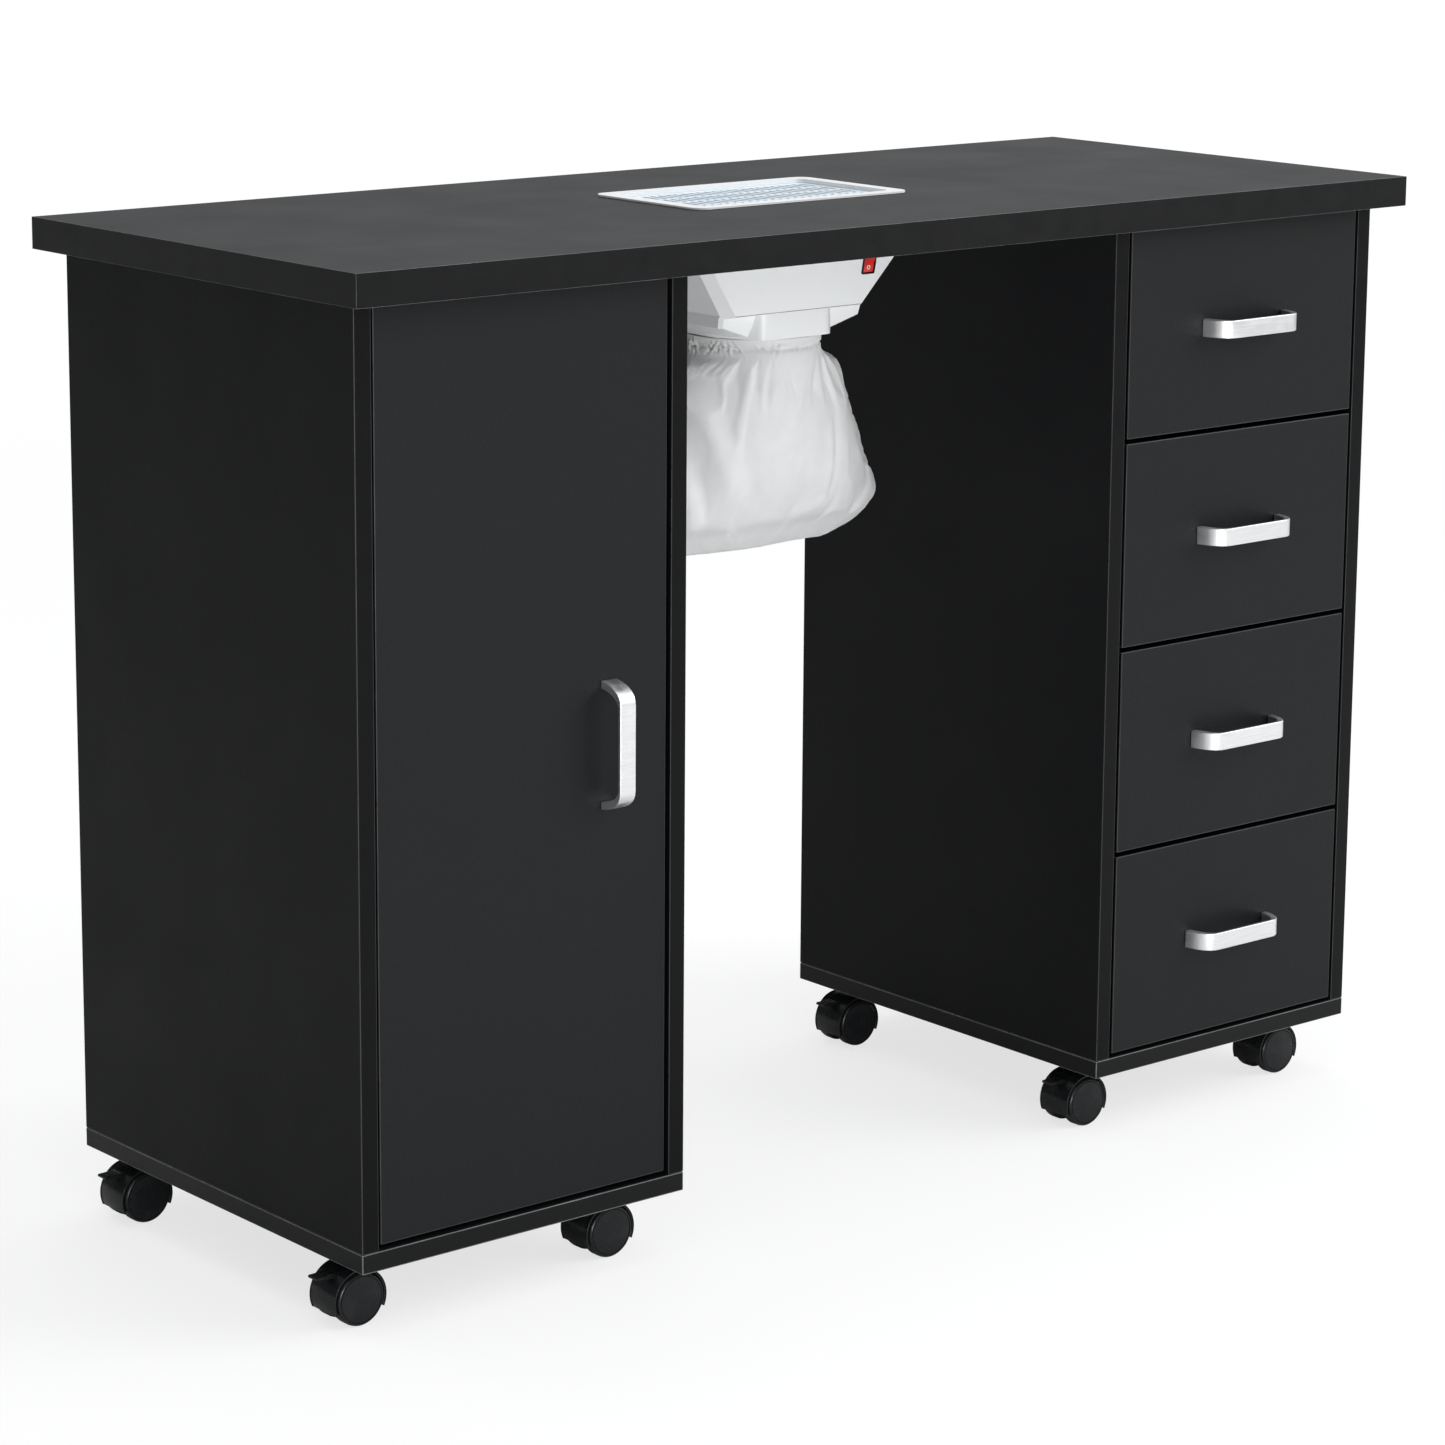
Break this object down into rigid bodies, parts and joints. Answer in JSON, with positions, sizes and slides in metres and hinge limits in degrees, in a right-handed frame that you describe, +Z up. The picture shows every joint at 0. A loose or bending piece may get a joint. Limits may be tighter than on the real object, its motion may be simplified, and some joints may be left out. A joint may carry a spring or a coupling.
{
  "type": "manicure table",
  "caption": "Wheeled manicure table with a door cabinet, a drawer cabinet and a dust extractor with a collecting bag let into the worktop.",
  "frame": {"origin": "on the floor, under the middle of the worktop", "axes": "+X along the length towards the drawer cabinet, -Y towards the side with the door and drawers, +Z up"},
  "size_m": [1.095, 0.434, 0.8018],
  "materials": {
    "black_melamine": "fine-textured black melamine on chipboard, edged",
    "inside_board": "plain black melamine on chipboard",
    "satin_silver": "satin silver",
    "zinc_steel": "zinc plated",
    "black_nylon": "satin moulded",
    "white_plastic": "moulded, soft gloss",
    "pale_grille": "moulded, pale blue-white",
    "grey_fan": "moulded",
    "red_switch": "translucent red",
    "non_woven": "spun-bonded non-woven"
  },
  "bodies": {
    "table": {"worktop": "black_melamine", "left_cabinet_bottom": "black_melamine", "left_cabinet_left_side": "black_melamine", "left_cabinet_right_side": "black_melamine", "left_cabinet_back": "black_melamine", "right_cabinet_bottom": "black_melamine", "right_cabinet_left_side": "black_melamine", "right_cabinet_right_side": "black_melamine", "right_cabinet_back": "black_melamine", "left_cabinet_shelf": "inside_board", "door_hinge_lower": "zinc_steel", "door_hinge_upper": "zinc_steel", "drawer_1_runner_left": "zinc_steel", "drawer_1_runner_right": "zinc_steel", "drawer_2_runner_left": "zinc_steel", "drawer_2_runner_right": "zinc_steel", "drawer_3_runner_left": "zinc_steel", "drawer_3_runner_right": "zinc_steel", "drawer_4_runner_left": "zinc_steel", "drawer_4_runner_right": "zinc_steel", "vent_frame": "white_plastic", "vent_grille": "pale_grille", "dust_housing": "white_plastic", "dust_bag": "non_woven"},
    "door": {"door": "black_melamine", "door_handle": "satin_silver"},
    "drawer_1": {"drawer_1_front": "black_melamine", "drawer_1_tray": "inside_board", "drawer_1_handle": "satin_silver"},
    "drawer_2": {"drawer_2_front": "black_melamine", "drawer_2_tray": "inside_board", "drawer_2_handle": "satin_silver"},
    "drawer_3": {"drawer_3_front": "black_melamine", "drawer_3_tray": "inside_board", "drawer_3_handle": "satin_silver"},
    "drawer_4": {"drawer_4_front": "black_melamine", "drawer_4_tray": "inside_board", "drawer_4_handle": "satin_silver"},
    "left_caster_front_left_swivel": {"left_caster_front_left_hood": "black_nylon"},
    "left_caster_front_left_wheels": {"left_caster_front_left_wheels": "black_nylon"},
    "left_caster_front_left_brake": {"left_caster_front_left_brake": "black_nylon"},
    "left_caster_front_right_swivel": {"left_caster_front_right_hood": "black_nylon"},
    "left_caster_front_right_wheels": {"left_caster_front_right_wheels": "black_nylon"},
    "left_caster_back_left_swivel": {"left_caster_back_left_hood": "black_nylon"},
    "left_caster_back_left_wheels": {"left_caster_back_left_wheels": "black_nylon"},
    "left_caster_back_left_brake": {"left_caster_back_left_brake": "black_nylon"},
    "left_caster_back_right_swivel": {"left_caster_back_right_hood": "black_nylon"},
    "left_caster_back_right_wheels": {"left_caster_back_right_wheels": "black_nylon"},
    "right_caster_front_left_swivel": {"right_caster_front_left_hood": "black_nylon"},
    "right_caster_front_left_wheels": {"right_caster_front_left_wheels": "black_nylon"},
    "right_caster_front_left_brake": {"right_caster_front_left_brake": "black_nylon"},
    "right_caster_front_right_swivel": {"right_caster_front_right_hood": "black_nylon"},
    "right_caster_front_right_wheels": {"right_caster_front_right_wheels": "black_nylon"},
    "right_caster_back_left_swivel": {"right_caster_back_left_hood": "black_nylon"},
    "right_caster_back_left_wheels": {"right_caster_back_left_wheels": "black_nylon"},
    "right_caster_back_left_brake": {"right_caster_back_left_brake": "black_nylon"},
    "right_caster_back_right_swivel": {"right_caster_back_right_hood": "black_nylon"},
    "right_caster_back_right_wheels": {"right_caster_back_right_wheels": "black_nylon"},
    "fan": {"dust_fan": "grey_fan"},
    "switch": {"dust_switch": "red_switch"}
  },
  "joints": [
    {"name": "door_swing", "type": "hinge", "parent": "table", "child": "door", "pos_m": [-0.5155, -0.189, 0.421], "axis": [0, 0, -1], "range_deg": [0, 105]},
    {"name": "drawer_1_slide", "type": "slide", "parent": "table", "child": "drawer_1", "axis": [0, -1, 0], "range_m": [0, 0.26]},
    {"name": "drawer_2_slide", "type": "slide", "parent": "table", "child": "drawer_2", "axis": [0, -1, 0], "range_m": [0, 0.26]},
    {"name": "drawer_3_slide", "type": "slide", "parent": "table", "child": "drawer_3", "axis": [0, -1, 0], "range_m": [0, 0.26]},
    {"name": "drawer_4_slide", "type": "slide", "parent": "table", "child": "drawer_4", "axis": [0, -1, 0], "range_m": [0, 0.26]},
    {"name": "left_caster_front_left_swivel", "type": "hinge", "parent": "table", "child": "left_caster_front_left_swivel", "pos_m": [-0.498, -0.146, 0.052], "axis": [0, 0, 1], "continuous": true},
    {"name": "left_caster_front_left_roll", "type": "hinge", "parent": "left_caster_front_left_swivel", "child": "left_caster_front_left_wheels", "pos_m": [-0.514, -0.146, 0.021], "axis": [0, 1, 0], "continuous": true},
    {"name": "left_caster_front_left_brake_press", "type": "hinge", "parent": "left_caster_front_left_swivel", "child": "left_caster_front_left_brake", "pos_m": [-0.523, -0.146, 0.034], "axis": [0, -1, 0], "range_deg": [0, 18]},
    {"name": "left_caster_front_right_swivel", "type": "hinge", "parent": "table", "child": "left_caster_front_right_swivel", "pos_m": [-0.26, -0.146, 0.052], "axis": [0, 0, 1], "continuous": true},
    {"name": "left_caster_front_right_roll", "type": "hinge", "parent": "left_caster_front_right_swivel", "child": "left_caster_front_right_wheels", "pos_m": [-0.276, -0.146, 0.021], "axis": [0, 1, 0], "continuous": true},
    {"name": "left_caster_back_left_swivel", "type": "hinge", "parent": "table", "child": "left_caster_back_left_swivel", "pos_m": [-0.498, 0.148, 0.052], "axis": [0, 0, 1], "continuous": true},
    {"name": "left_caster_back_left_roll", "type": "hinge", "parent": "left_caster_back_left_swivel", "child": "left_caster_back_left_wheels", "pos_m": [-0.514, 0.148, 0.021], "axis": [0, 1, 0], "continuous": true},
    {"name": "left_caster_back_left_brake_press", "type": "hinge", "parent": "left_caster_back_left_swivel", "child": "left_caster_back_left_brake", "pos_m": [-0.523, 0.148, 0.034], "axis": [0, -1, 0], "range_deg": [0, 18]},
    {"name": "left_caster_back_right_swivel", "type": "hinge", "parent": "table", "child": "left_caster_back_right_swivel", "pos_m": [-0.26, 0.148, 0.052], "axis": [0, 0, 1], "continuous": true},
    {"name": "left_caster_back_right_roll", "type": "hinge", "parent": "left_caster_back_right_swivel", "child": "left_caster_back_right_wheels", "pos_m": [-0.276, 0.148, 0.021], "axis": [0, 1, 0], "continuous": true},
    {"name": "right_caster_front_left_swivel", "type": "hinge", "parent": "table", "child": "right_caster_front_left_swivel", "pos_m": [0.26, -0.146, 0.052], "axis": [0, 0, 1], "continuous": true},
    {"name": "right_caster_front_left_roll", "type": "hinge", "parent": "right_caster_front_left_swivel", "child": "right_caster_front_left_wheels", "pos_m": [0.244, -0.146, 0.021], "axis": [0, 1, 0], "continuous": true},
    {"name": "right_caster_front_left_brake_press", "type": "hinge", "parent": "right_caster_front_left_swivel", "child": "right_caster_front_left_brake", "pos_m": [0.235, -0.146, 0.034], "axis": [0, -1, 0], "range_deg": [0, 18]},
    {"name": "right_caster_front_right_swivel", "type": "hinge", "parent": "table", "child": "right_caster_front_right_swivel", "pos_m": [0.498, -0.146, 0.052], "axis": [0, 0, 1], "continuous": true},
    {"name": "right_caster_front_right_roll", "type": "hinge", "parent": "right_caster_front_right_swivel", "child": "right_caster_front_right_wheels", "pos_m": [0.482, -0.146, 0.021], "axis": [0, 1, 0], "continuous": true},
    {"name": "right_caster_back_left_swivel", "type": "hinge", "parent": "table", "child": "right_caster_back_left_swivel", "pos_m": [0.26, 0.148, 0.052], "axis": [0, 0, 1], "continuous": true},
    {"name": "right_caster_back_left_roll", "type": "hinge", "parent": "right_caster_back_left_swivel", "child": "right_caster_back_left_wheels", "pos_m": [0.244, 0.148, 0.021], "axis": [0, 1, 0], "continuous": true},
    {"name": "right_caster_back_left_brake_press", "type": "hinge", "parent": "right_caster_back_left_swivel", "child": "right_caster_back_left_brake", "pos_m": [0.235, 0.148, 0.034], "axis": [0, -1, 0], "range_deg": [0, 18]},
    {"name": "right_caster_back_right_swivel", "type": "hinge", "parent": "table", "child": "right_caster_back_right_swivel", "pos_m": [0.498, 0.148, 0.052], "axis": [0, 0, 1], "continuous": true},
    {"name": "right_caster_back_right_roll", "type": "hinge", "parent": "right_caster_back_right_swivel", "child": "right_caster_back_right_wheels", "pos_m": [0.482, 0.148, 0.021], "axis": [0, 1, 0], "continuous": true},
    {"name": "fan_spin", "type": "hinge", "parent": "table", "child": "fan", "pos_m": [0.005, 0.008, 0.69], "axis": [0, 0, 1], "continuous": true},
    {"name": "switch_rock", "type": "hinge", "parent": "table", "child": "switch", "pos_m": [0.074, -0.0585, 0.7455], "axis": [-1, 0, 0], "range_deg": [0, 20]}
  ]
}
